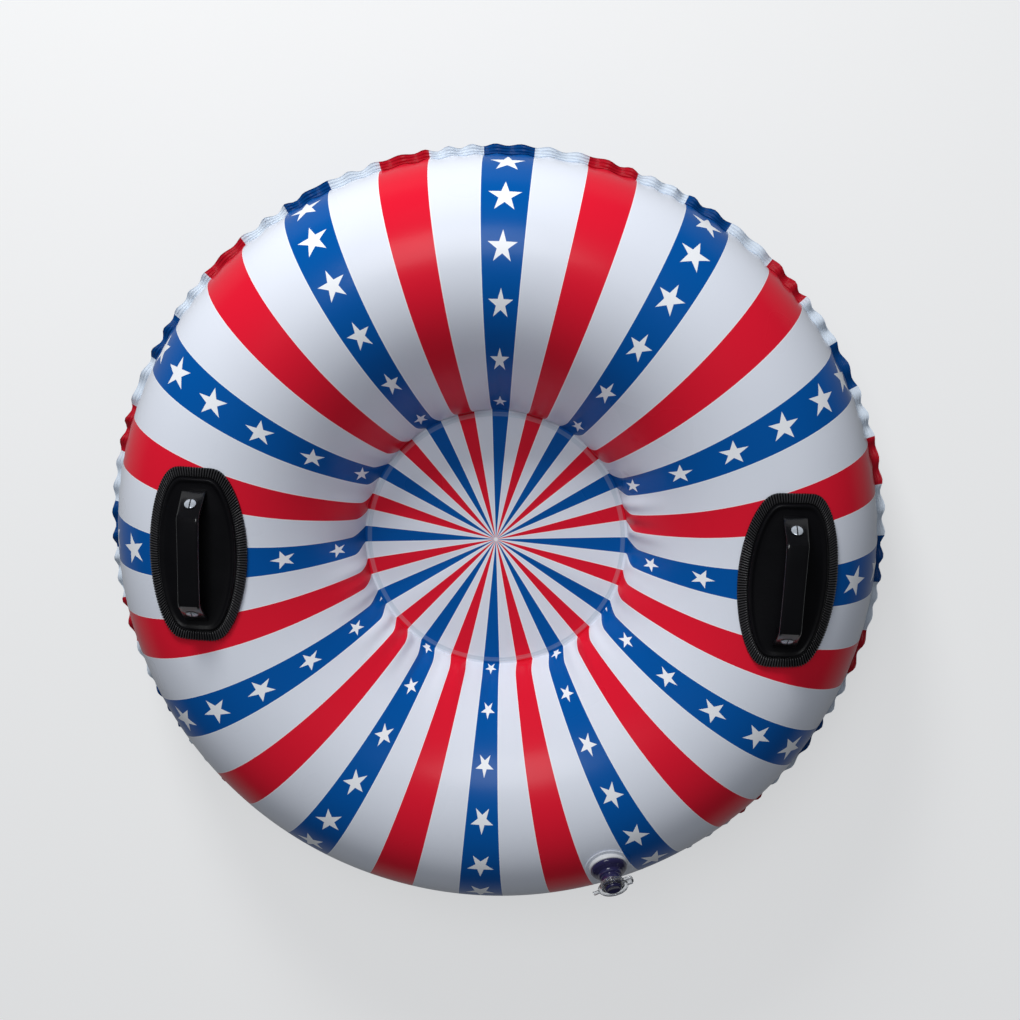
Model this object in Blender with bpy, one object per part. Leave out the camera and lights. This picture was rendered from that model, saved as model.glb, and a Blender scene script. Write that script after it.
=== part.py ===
# Inflatable snow tube: two PVC skins welded at a crinkled rim and at a round seat,
# two moulded carry handles and a push-in inflation valve with a tethered cap.
# Metres, +Z up. The tube lies on its base: the origin is on the floor under its centre.
# +X runs from the left handle to the right one; the valve sits at the lower right.

import math

import bmesh
import bpy
from mathutils import Matrix, Vector

# Tube: the chamber's plan sizes
SEAM_RADIUS = 0.463          # where the two skins meet, level with the rim
RIM_FLANGE_WIDTH = 0.012     # flat weld that stands out beyond the seam
SEAT_RADIUS = 0.1635         # outer edge of the round weld that bounds the seat
SEAT_DROP = 0.020            # the seat lies this far under the rim's plane
BASE_CONTACT_WIDTH = 0.024   # strip on which the inflated tube rests
TOP_SKIN = 0.0006
BOTTOM_SKIN = 0.0008
WELD_GAP = 0.0003            # left between the two skins where they are welded
SECTORS = 60
TOP_STEPS = 12
BOTTOM_STEPS = 9
PROFILE_FINE_STEPS = 900
OUTLINE_STEPS = 40

# Crinkles of the rim and puckers round the seat
RIM_CRINKLE = 0.0030         # height of a crinkle at the rim's edge, either way
SEAM_CRINKLE_SHARE = 0.35    # share of that height left at the seam
PUCKERS = 12
PUCKER_BULGE = 0.006         # how far a lobe between two puckers stands proud
PUCKER_REACH = 0.120         # along the skin, from the seat's weld

# Handles: moulded pads on the crest of the tube, with a bridge grip
PAD_LENGTH = 0.206
PAD_WIDTH = 0.114
PAD_END_WIDTH_SHARE = 0.64   # the pad's width at its ends, of its middle width
PAD_CORNER_POWER = 6.0       # squareness of the pad's outline
PAD_RIB_COUNT = 36
PAD_BASE = 0.0016            # thickness at the pad's edge
PAD_RIB = 0.0014             # height of a rib over the groove beside it
PAD_BORDER_WIDTH = 0.013
PAD_RIDGE = 0.0050
PAD_RIDGE_WIDTH = 0.0035
PAD_FLOOR = 0.0026
SEAT_CLEARANCE = 0.0003      # between pieces that seat on each other
DRAPE_CLEARANCE = 0.0008     # under a pad or disc that follows the curved skin
RUNNING_CLEARANCE = 0.0004
GRIP_SPAN = 0.098            # length of the raised bar
GRIP_RISE = 0.027            # the bar's underside over the pad's floor
GRIP_RUN = 0.026             # plan length of each sloping end
GRIP_FOOT = 0.002            # flat toe beyond each slope
GRIP_WIDTH = 0.027
GRIP_FOOT_WIDTH = 0.031
GRIP_THICKNESS = 0.0070
GRIP_TOE_THICKNESS = 0.0035
GRIP_CHAMFER_SHARE = 0.28    # of the thickness
BOSS_SET_BACK = 0.004        # the boss under a slope stops short of the bar
STUD_HEAD_RADIUS = 0.0085
STUD_HEAD = 0.0024
STUD_SHANK_RADIUS = 0.0026
STUD_SHANK = 0.0105
STUD_SLOT_WIDTH = 0.0016
STUD_SLOT_DEPTH = 0.0010
STUD_HEIGHT_SHARE = 0.48     # of the slope, from its foot

# Valve, along its own axis, with height counted out of the skin
VALVE_ANGLE = math.radians(-67.5)
VALVE_ARC_SHARE = 0.7238     # along the top skin, from the seat's weld to the seam
VALVE_HOLE_RADIUS = 0.0215
WELD_DISC_RADIUS = 0.0300
WELD_DISC = 0.0010
COLLAR_INNER_RADIUS = 0.0200
COLLAR_WALL = 0.0030
COLLAR_HEIGHT = 0.0034
CUP_WALL = 0.0010
CUP_LIP_HEIGHT = 0.0022
STEM_RADIUS = 0.0125
BORE_RADIUS = 0.0090
STEM_FOOT = 0.0090           # height of the stem's inner end
CUP_TOP = 0.0140             # height at which the cup meets the stem's shoulder
SHOULDER = 0.0016
STEM_HEIGHT = 0.0290
STEM_RIM_RADIUS = 0.0150
STEM_RIM = 0.0022
FLAP = 0.0008
FLAP_OVERLAP = 0.0016        # the flap's edge beyond the bore
CAP_RADIUS = 0.0185
CAP_DISC = 0.0022
CAP_KNOB_RADIUS = 0.0100
CAP_KNOB = 0.0026
PLUG_LENGTH = 0.0060
PLUG_TOP_CLEARANCE = 0.00025
PLUG_TAPER = 0.0006
HINGE_REACH = 0.0235         # from the valve's axis to the cap's living hinge
HINGE_STRAP_WIDTH = 0.0080
HINGE_POST = 0.0022          # thickness of the tether's post under the hinge
TETHER_RING_WALL = 0.0022
TETHER_RING_HEIGHT = 0.0020
PULL_TAB_LENGTH = 0.0070
VALVE_SIDES = 32
KNUCKLE_SIDES = 12
STUD_SIDES = 20
CUT_OVERRUN = 0.004

MATERIALS = {
    "printed_pvc": ((0.83, 0.85, 0.90), 0.28, 0.0),
    "bottom_pvc": ((0.010, 0.085, 0.330), 0.35, 0.0),
    "handle_black": ((0.010, 0.010, 0.012), 0.38, 0.0),
    "stud_metal": ((0.62, 0.66, 0.70), 0.30, 0.6),
    "valve_white": ((0.78, 0.78, 0.82), 0.30, 0.0),
    "valve_purple": ((0.045, 0.035, 0.120), 0.18, 0.0),
    "valve_clear": ((0.70, 0.72, 0.74), 0.12, 0.0),
}


def clear_scene():
    for old in list(bpy.data.objects):
        bpy.data.objects.remove(old)


def material(name):
    found = bpy.data.materials.get(name)
    if found:
        return found
    colour, roughness, metallic = MATERIALS[name]
    made = bpy.data.materials.new(name)
    made.use_nodes = True
    shader = made.node_tree.nodes["Principled BSDF"]
    shader.inputs["Base Color"].default_value = (*colour, 1.0)
    shader.inputs["Roughness"].default_value = roughness
    shader.inputs["Metallic"].default_value = metallic
    return made


def object_from(name, mesh_builder, material_name, smooth_angle=35.0):
    """Turns a bmesh into a named object with its outward normals and its material."""
    bmesh.ops.recalc_face_normals(mesh_builder, faces=mesh_builder.faces)
    mesh = bpy.data.meshes.new(name)
    mesh_builder.to_mesh(mesh)
    mesh_builder.free()
    mesh.shade_smooth()
    mesh.set_sharp_from_angle(angle=math.radians(smooth_angle))
    mesh.materials.append(material(material_name))
    made = bpy.data.objects.new(name, mesh)
    bpy.context.scene.collection.objects.link(made)
    return made


def stitch(builder, ring, following):
    """Faces between two closed rings: equal counts, one point, or twice as many points."""
    n, m = len(ring), len(following)
    if n > m:
        stitch(builder, following, ring)
        return
    for i in range(n):
        j = (i + 1) % n
        if n == m:
            builder.faces.new((ring[i], ring[j], following[j], following[i]))
        elif m == 2 * n:
            near, middle, far = following[2 * i], following[2 * i + 1], following[(2 * i + 2) % m]
            builder.faces.new((ring[i], middle, near))
            builder.faces.new((ring[i], ring[j], middle))
            builder.faces.new((ring[j], far, middle))
    if n == 1:
        for i in range(m):
            builder.faces.new((ring[0], following[i], following[(i + 1) % m]))


def cut(target, cutter):
    cutter.hide_render = True
    cutter.display_type = "WIRE"
    step = target.modifiers.new("cut_" + cutter.name, "BOOLEAN")
    step.operation = "DIFFERENCE"
    step.object = cutter


def fuse(target, addition):
    addition.hide_render = True
    addition.display_type = "WIRE"
    step = target.modifiers.new("fuse_" + addition.name, "BOOLEAN")
    step.operation = "UNION"
    step.object = addition


# Inflated section of the chamber

def slack_section(inner_radius, outer_radius, rise):
    """Section of a welded sheet under pressure, from the seat's weld to the seam.

    Its hoops are slack, so its curvature grows with the radius. The seam, where the two
    sheets pull against each other, is upright. Returns points (r, z, slope angle, arc).
    """
    step = (outer_radius - inner_radius) / PROFILE_FINE_STEPS

    def walk(start_angle):
        curvature = 2 * (1 + math.sin(start_angle)) / (outer_radius**2 - inner_radius**2)
        r, z, angle, arc = inner_radius, 0.0, start_angle, 0.0
        points = [(r, z, angle, arc)]
        while angle > -math.pi / 2:
            middle = angle - 0.5 * step * curvature * r
            r += step * math.cos(middle)
            z += step * math.sin(middle)
            angle -= step * curvature * r
            arc += step
            points.append((r, z, angle, arc))
        return points

    low, high = math.radians(25), math.radians(100)
    for _ in range(40):
        middle = (low + high) / 2
        if walk(middle)[-1][1] > rise:
            high = middle
        else:
            low = middle
    points = walk((low + high) / 2)
    r, z, _, arc = points[-1]
    points[-1] = (outer_radius, rise, -math.pi / 2, arc)
    return points


def at_arc(section, arc):
    """The section's (r, z, slope, arc) at a length along it, interpolated."""
    if arc <= section[0][3]:
        return section[0]
    for a, b in zip(section, section[1:]):
        if arc <= b[3]:
            share = (arc - a[3]) / max(b[3] - a[3], 1e-12)
            return tuple(x + (y - x) * share for x, y in zip(a, b))
    return section[-1]


TOP_SECTION = slack_section(SEAT_RADIUS, SEAM_RADIUS, SEAT_DROP)
BOTTOM_SECTION = slack_section(SEAT_RADIUS, SEAM_RADIUS, -SEAT_DROP)
TOP_LENGTH = TOP_SECTION[-1][3]
BOTTOM_LENGTH = BOTTOM_SECTION[-1][3]
CREST = max(TOP_SECTION, key=lambda point: point[1])
LOWEST = max(BOTTOM_SECTION, key=lambda point: point[1])
CONTACT = at_arc(BOTTOM_SECTION, LOWEST[3] - BASE_CONTACT_WIDTH / 2)
SEAT_UNDERSIDE = CONTACT[1]                       # height of the seat's weld, underside
SEAT_TOP = SEAT_UNDERSIDE + BOTTOM_SKIN + WELD_GAP + TOP_SKIN
SEAM_HEIGHT = SEAT_TOP + SEAT_DROP
CREST_HEIGHT = SEAT_TOP + CREST[1]
RIM_RADIUS = SEAM_RADIUS + RIM_FLANGE_WIDTH


def pucker(arc, turn):
    """How far the skin stands proud between the puckers that spread from the seat's weld."""
    if arc >= PUCKER_REACH:
        return 0.0
    along = math.sin(math.pi * math.sqrt(arc / PUCKER_REACH)) ** 2
    return PUCKER_BULGE * along * abs(math.sin(PUCKERS * turn / 2))


def crinkle(index, share):
    """Up and down wave of the rim, for a point of the doubled rings."""
    return RIM_CRINKLE * share * (1 if index % 2 else -1)


def skin_point(section_point, offset, turn, side):
    """A point of a skin, offset towards the chamber. side is 1 for the top skin and -1 below."""
    r, z, slope, arc = section_point
    proud = pucker(arc, turn) - offset
    r_out = r - math.sin(slope) * proud
    z_out = z + math.cos(slope) * proud
    return r_out, side * z_out


def ring_at(builder, count, place):
    """A closed ring of points, where place(index, turn) gives radius and height."""
    if count == 1:
        r, z = place(0, 0.0)
        return [builder.verts.new((0, 0, z))]
    made = []
    for i in range(count):
        turn = 2 * math.pi * i / count
        r, z = place(i, turn)
        made.append(builder.verts.new((r * math.cos(turn), r * math.sin(turn), z)))
    return made


def skin(name, section, arcs, thickness, side, seat_height, material_name):
    """One skin as a thin shell: seat disc, inflated wall, and its half of the rim's weld."""
    builder = bmesh.new()
    half_gap = WELD_GAP / 2
    seam_face = SEAM_HEIGHT + side * half_gap
    seam_outer = seam_face + side * thickness

    def surface(offset):
        seat_z = seat_height - side * offset
        corner = SEAT_RADIUS + offset * math.tan(section[0][2] / 2)
        rings = [ring_at(builder, 1, lambda i, t: (0, seat_z))]
        rings.append(ring_at(builder, SECTORS, lambda i, t: (SEAT_RADIUS / 2, seat_z)))
        rings.append(ring_at(builder, SECTORS, lambda i, t: (corner, seat_z)))
        for arc in arcs:
            point = at_arc(section, arc)
            if side < 0 and abs(arc - LOWEST[3]) <= BASE_CONTACT_WIDTH * 0.51:
                point = (point[0], CONTACT[1], 0.0, arc)

            def on_wall(i, turn, point=point):
                r, z = skin_point(point, offset, turn, side)
                return r, seat_height + z

            rings.append(ring_at(builder, SECTORS, on_wall))
        level = seam_face if offset else seam_outer
        seam_r = SEAM_RADIUS - offset
        for r, share in ((seam_r, SEAM_CRINKLE_SHARE), (RIM_RADIUS, 1.0)):
            rings.append(ring_at(
                builder, 2 * SECTORS, lambda i, t, r=r, share=share: (r, level + crinkle(i, share))))
        return rings

    outer, inner = surface(0.0), surface(thickness)
    for rings in (outer, inner):
        for ring, following in zip(rings, rings[1:]):
            stitch(builder, ring, following)
    stitch(builder, outer[-1], inner[-1])
    return object_from(name, builder, material_name, 40.0)


def even(start, end, count):
    return [start + (end - start) * i / count for i in range(1, count + 1)]


def build_skins():
    """The printed top skin and the plain bottom skin. The last step before the seam is short of it."""
    top_end = TOP_LENGTH - 2 * RIM_CRINKLE
    bottom_end = BOTTOM_LENGTH - 2 * RIM_CRINKLE
    top = skin("top_skin", TOP_SECTION, even(0.0, top_end, TOP_STEPS),
               TOP_SKIN, 1, SEAT_TOP, "printed_pvc")
    inner_edge = LOWEST[3] - BASE_CONTACT_WIDTH / 2
    outer_edge = LOWEST[3] + BASE_CONTACT_WIDTH / 2
    inner_steps = round(BOTTOM_STEPS * inner_edge / bottom_end)
    arcs = even(0.0, inner_edge, inner_steps) + [outer_edge]
    arcs += even(outer_edge, bottom_end, BOTTOM_STEPS - inner_steps)
    bottom = skin("bottom_skin", BOTTOM_SECTION, arcs, BOTTOM_SKIN, -1, SEAT_UNDERSIDE, "bottom_pvc")
    return top, bottom


def top_height(radius):
    """Height of the smooth top skin over the floor at a radius between the seat and the seam."""
    for a, b in zip(TOP_SECTION, TOP_SECTION[1:]):
        if a[0] <= radius <= b[0]:
            share = (radius - a[0]) / max(b[0] - a[0], 1e-12)
            return SEAT_TOP + a[1] + (b[1] - a[1]) * share
    return SEAM_HEIGHT if radius > SEAM_RADIUS else SEAT_TOP


# Handles

def pad_loop(inset, count):
    """Points (across, along) spaced evenly on the pad's barrel outline, drawn in by an inset."""
    power = PAD_CORNER_POWER
    corner = 0.5 ** (1 / power)
    shares = [corner * i / OUTLINE_STEPS for i in range(OUTLINE_STEPS)]
    quarter = [((1 - share**power) ** (1 / power), share) for share in shares]
    quarter += [(corner, corner)] + [(along, across) for across, along in reversed(quarter)]
    half = quarter + [(-across, along) for across, along in reversed(quarter[:-1])]
    whole = half + [(across, -along) for across, along in reversed(half[1:-1])] + half[:1]
    outline = []
    for across, along in whole:
        taper = 1 - (1 - PAD_END_WIDTH_SHARE) * along**2
        outline.append(Vector((
            across * taper * (PAD_WIDTH / 2 - inset), along * (PAD_LENGTH / 2 - inset))))
    lengths = [(b - a).length for a, b in zip(outline, outline[1:])]
    spacing = sum(lengths) / count
    points, walked, k = [], 0.0, 0
    for i in range(count):
        while walked + lengths[k] < i * spacing:
            walked += lengths[k]
            k += 1
        points.append(outline[k].lerp(outline[k + 1], (i * spacing - walked) / lengths[k]))
    return points


def handle_frame(side):
    """Pad axes to the tube's frame: x across the tube, y along the pad, z up from the crest."""
    turn = Matrix.Rotation(0.0 if side > 0 else math.pi, 4, "Z")
    return turn @ Matrix.Translation((CREST[0], 0, 0))


def build_pad(name, side):
    builder = bmesh.new()
    count = 2 * PAD_RIB_COUNT
    depth = PAD_WIDTH / 2
    border = PAD_BORDER_WIDTH
    inner = border + PAD_RIDGE_WIDTH

    def loop(inset, height, ribbed=False):
        made = []
        for i, (across, along) in enumerate(pad_loop(inset, count)):
            skin_z = top_height(math.hypot(CREST[0] + across, along)) + DRAPE_CLEARANCE
            rib = PAD_RIB if ribbed and i % 2 else 0.0
            made.append(builder.verts.new((across, along, skin_z + height + rib)))
        return made

    def middle(height):
        return [builder.verts.new((0, 0, CREST_HEIGHT + DRAPE_CLEARANCE + height))]

    under = [middle(0.0), loop(depth * 0.6, 0.0), loop(depth * 0.28, 0.0), loop(0.0, 0.0)]
    over = [
        loop(0.0, PAD_BASE, True),
        loop(border * 0.86, PAD_BASE, True),
        loop(border, PAD_RIDGE),
        loop(inner, PAD_RIDGE),
        loop(inner + PAD_RIDGE - PAD_FLOOR, PAD_FLOOR),
        loop(depth * 0.6, PAD_FLOOR),
        middle(PAD_FLOOR),
    ]
    rings = under + over
    for ring, following in zip(rings, rings[1:]):
        stitch(builder, ring, following)
    made = object_from(name, builder, "handle_black")
    made.matrix_world = handle_frame(side)
    return made


def loft(name, stations, material_name, frame):
    """A bar through chamfered rectangular sections: (along, height, tilt, width, thickness)."""
    builder = bmesh.new()
    loops = []
    for along, height, tilt, width, thickness in stations:
        chamfer = thickness * GRIP_CHAMFER_SHARE
        half = width / 2
        outline = [
            (half, chamfer), (half, thickness - chamfer), (half - chamfer, thickness),
            (chamfer - half, thickness), (-half, thickness - chamfer), (-half, chamfer),
            (chamfer - half, 0.0), (half - chamfer, 0.0),
        ]
        turned = []
        for across, up in outline:
            turned.append(builder.verts.new(
                (across, along - math.sin(tilt) * up, height + math.cos(tilt) * up)))
        loops.append(turned)
    for ring, following in zip(loops, loops[1:]):
        stitch(builder, ring, following)
    builder.faces.new(loops[0])
    builder.faces.new(loops[-1])
    made = object_from(name, builder, material_name)
    made.matrix_world = frame
    return made


PAD_SEAT = CREST_HEIGHT + DRAPE_CLEARANCE + PAD_FLOOR        # floor of the pad at its middle
GRIP_BASE = PAD_SEAT + SEAT_CLEARANCE
GRIP_HALF = GRIP_SPAN / 2
GRIP_SLOPE_FOOT = GRIP_HALF + GRIP_RUN
BAR_HEIGHT = GRIP_BASE + GRIP_RISE
SLOPE = math.atan2(GRIP_RISE, GRIP_RUN)
FOOT_THICKNESS = GRIP_TOE_THICKNESS * 1.15


def build_grip(name, side):
    """The bridge that a hand closes on: a flat bar with a sloping, flaring end at each side."""
    toe = GRIP_SLOPE_FOOT + GRIP_FOOT
    one_side = [
        (toe, GRIP_BASE, 0.0, GRIP_FOOT_WIDTH * 0.94, GRIP_TOE_THICKNESS),
        (GRIP_SLOPE_FOOT, GRIP_BASE, -SLOPE / 2, GRIP_FOOT_WIDTH, FOOT_THICKNESS),
        (GRIP_HALF, BAR_HEIGHT, -SLOPE / 2, GRIP_WIDTH, GRIP_THICKNESS),
        (GRIP_HALF * 0.62, BAR_HEIGHT, 0.0, GRIP_WIDTH, GRIP_THICKNESS * 1.12),
    ]
    other = [(-a, z, -tilt, w, t) for a, z, tilt, w, t in reversed(one_side)]
    return loft(name, one_side + other, "handle_black", handle_frame(side))


def slope_frame(side, end):
    """Axes on the grip's sloping end: origin on its upper face, z out of it."""
    tilted = Vector((0, math.sin(SLOPE / 2), math.cos(SLOPE / 2)))
    low = Vector((0, GRIP_SLOPE_FOOT, GRIP_BASE)) + tilted * FOOT_THICKNESS
    high = Vector((0, GRIP_HALF, BAR_HEIGHT)) + tilted * GRIP_THICKNESS
    run = (low - high).normalized()
    across = Vector((1, 0, 0))
    out = across.cross(run)
    axes = Matrix((tuple(across), tuple(run), tuple(out))).transposed().to_4x4()
    mirror = Matrix.Rotation(0.0 if end > 0 else math.pi, 4, "Z")
    origin = low.lerp(high, STUD_HEIGHT_SHARE)
    return handle_frame(side) @ mirror @ Matrix.Translation(origin) @ axes


def disc_solid(name, profile, sides, material_name, frame):
    """A turned piece: profile points (radius, height) from the axis round to the axis."""
    builder = bmesh.new()
    rings = [ring_at(builder, 1 if r == 0 else sides, lambda i, t, r=r, z=z: (r, z)) for r, z in profile]
    for ring, following in zip(rings, rings[1:]):
        stitch(builder, ring, following)
    made = object_from(name, builder, material_name)
    made.matrix_world = frame
    return made


def tube_solid(name, profile, sides, material_name, frame):
    """A turned piece with a bore: a closed profile of (radius, height) off the axis."""
    builder = bmesh.new()
    rings = [ring_at(builder, sides, lambda i, t, r=r, z=z: (r, z)) for r, z in profile]
    for ring, following in zip(rings, rings[1:] + rings[:1]):
        stitch(builder, ring, following)
    made = object_from(name, builder, material_name)
    made.matrix_world = frame
    return made


def box_solid(name, low, high, material_name, frame):
    builder = bmesh.new()
    bmesh.ops.create_cube(builder, size=1.0)
    for vert in builder.verts:
        vert.co = Vector([l + (h - l) * (c + 0.5) for c, l, h in zip(vert.co, low, high)])
    made = object_from(name, builder, material_name)
    made.matrix_world = frame
    return made


def build_boss(name, side, end):
    """Wedge on the pad that fills the hollow under one sloping end of the grip."""
    back = GRIP_HALF + BOSS_SET_BACK
    front = GRIP_SLOPE_FOOT - BOSS_SET_BACK / 2
    sunk = PAD_SEAT - PAD_FLOOR * 0.8

    def under_slope(along):
        gap = SEAT_CLEARANCE / math.cos(SLOPE)
        return GRIP_BASE + (GRIP_SLOPE_FOOT - along) * math.tan(SLOPE) - gap

    builder = bmesh.new()
    rows = []
    for across in (-GRIP_WIDTH * 0.4, GRIP_WIDTH * 0.4):
        rows.append([builder.verts.new((across, along, z)) for along, z in (
            (front, sunk), (front, under_slope(front)), (back, under_slope(back)), (back, sunk))])
    stitch(builder, *rows)
    builder.faces.new(rows[0])
    builder.faces.new(rows[1])
    made = object_from(name, builder, "handle_black")
    made.matrix_world = handle_frame(side) @ Matrix.Rotation(0.0 if end > 0 else math.pi, 4, "Z")
    return made


def build_stud(name, frame):
    """Slotted stud that holds one end of the grip on the pad's boss."""
    seat = SEAT_CLEARANCE
    profile = [
        (0, -STUD_SHANK), (STUD_SHANK_RADIUS, -STUD_SHANK), (STUD_SHANK_RADIUS, seat),
        (STUD_HEAD_RADIUS, seat), (STUD_HEAD_RADIUS, STUD_HEAD * 0.45),
        (STUD_HEAD_RADIUS * 0.82, STUD_HEAD * 0.85), (STUD_HEAD_RADIUS * 0.4, STUD_HEAD), (0, STUD_HEAD),
    ]
    made = disc_solid(name, profile, STUD_SIDES, "stud_metal", frame)
    reach = STUD_HEAD_RADIUS + CUT_OVERRUN
    slot = box_solid(
        name + "_slot_cutter",
        (-STUD_SLOT_WIDTH / 2, -reach, STUD_HEAD - STUD_SLOT_DEPTH),
        (STUD_SLOT_WIDTH / 2, reach, STUD_HEAD + CUT_OVERRUN), "stud_metal", frame)
    cut(made, slot)
    return made


def build_handle(word, side):
    pad = build_pad(f"{word}_handle_pad", side)
    grip = build_grip(f"{word}_handle_grip", side)
    for end_word, end in (("upper", 1), ("lower", -1)):
        end = end * side
        fuse(pad, build_boss(f"{word}_{end_word}_boss", side, end))
        frame = slope_frame(side, end)
        build_stud(f"{word}_{end_word}_stud", frame)
        hole = disc_solid(
            f"{word}_{end_word}_stud_hole",
            [(0, -STUD_SHANK - RUNNING_CLEARANCE),
             (STUD_SHANK_RADIUS + RUNNING_CLEARANCE, -STUD_SHANK - RUNNING_CLEARANCE),
             (STUD_SHANK_RADIUS + RUNNING_CLEARANCE, CUT_OVERRUN), (0, CUT_OVERRUN)],
            STUD_SIDES, "stud_metal", frame)
        cut(grip, hole)
        cut(pad, hole)


# Valve

def valve_frame():
    """Origin on the skin's outer face, z along the valve out of the tube, x round the tube."""
    r, z, slope, _ = at_arc(TOP_SECTION, TOP_LENGTH * VALVE_ARC_SHARE)
    radial = Vector((math.cos(VALVE_ANGLE), math.sin(VALVE_ANGLE), 0))
    out = radial * -math.sin(slope) + Vector((0, 0, math.cos(slope)))
    around = Vector((0, 0, 1)).cross(radial)
    origin = radial * r + Vector((0, 0, SEAT_TOP + z))
    axes = Matrix((tuple(around), tuple(out.cross(around)), tuple(out))).transposed().to_4x4()
    return Matrix.Translation(origin) @ axes


def skin_rise(frame, across, along):
    """Height of the skin over the valve's base plane, along the valve's axis."""
    low, high = -WELD_DISC_RADIUS, WELD_DISC_RADIUS
    for _ in range(40):
        middle = (low + high) / 2
        point = frame @ Vector((across, along, middle))
        if point.z > top_height(math.hypot(point.x, point.y)):
            high = middle
        else:
            low = middle
    return (low + high) / 2


def build_weld_disc(frame):
    """Welded flange of the valve, which follows the skin, with its raised collar."""
    builder = bmesh.new()
    collar_outer = COLLAR_INNER_RADIUS + COLLAR_WALL

    def ring(radius, height, follows=True):
        made = []
        for i in range(VALVE_SIDES):
            turn = 2 * math.pi * i / VALVE_SIDES
            x, y = radius * math.cos(turn), radius * math.sin(turn)
            base = skin_rise(frame, x, y) + DRAPE_CLEARANCE if follows else 0.0
            made.append(builder.verts.new((x, y, base + height)))
        return made

    rings = [
        ring(COLLAR_INNER_RADIUS, 0.0), ring((COLLAR_INNER_RADIUS + WELD_DISC_RADIUS) / 2, 0.0),
        ring(WELD_DISC_RADIUS, 0.0), ring(WELD_DISC_RADIUS, WELD_DISC),
        ring(collar_outer + WELD_DISC, WELD_DISC), ring(collar_outer, COLLAR_HEIGHT, False),
        ring(COLLAR_INNER_RADIUS, COLLAR_HEIGHT, False),
    ]
    for a, b in zip(rings, rings[1:] + rings[:1]):
        stitch(builder, a, b)
    made = object_from("valve_weld_disc", builder, "valve_white")
    made.matrix_world = frame
    return made


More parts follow.
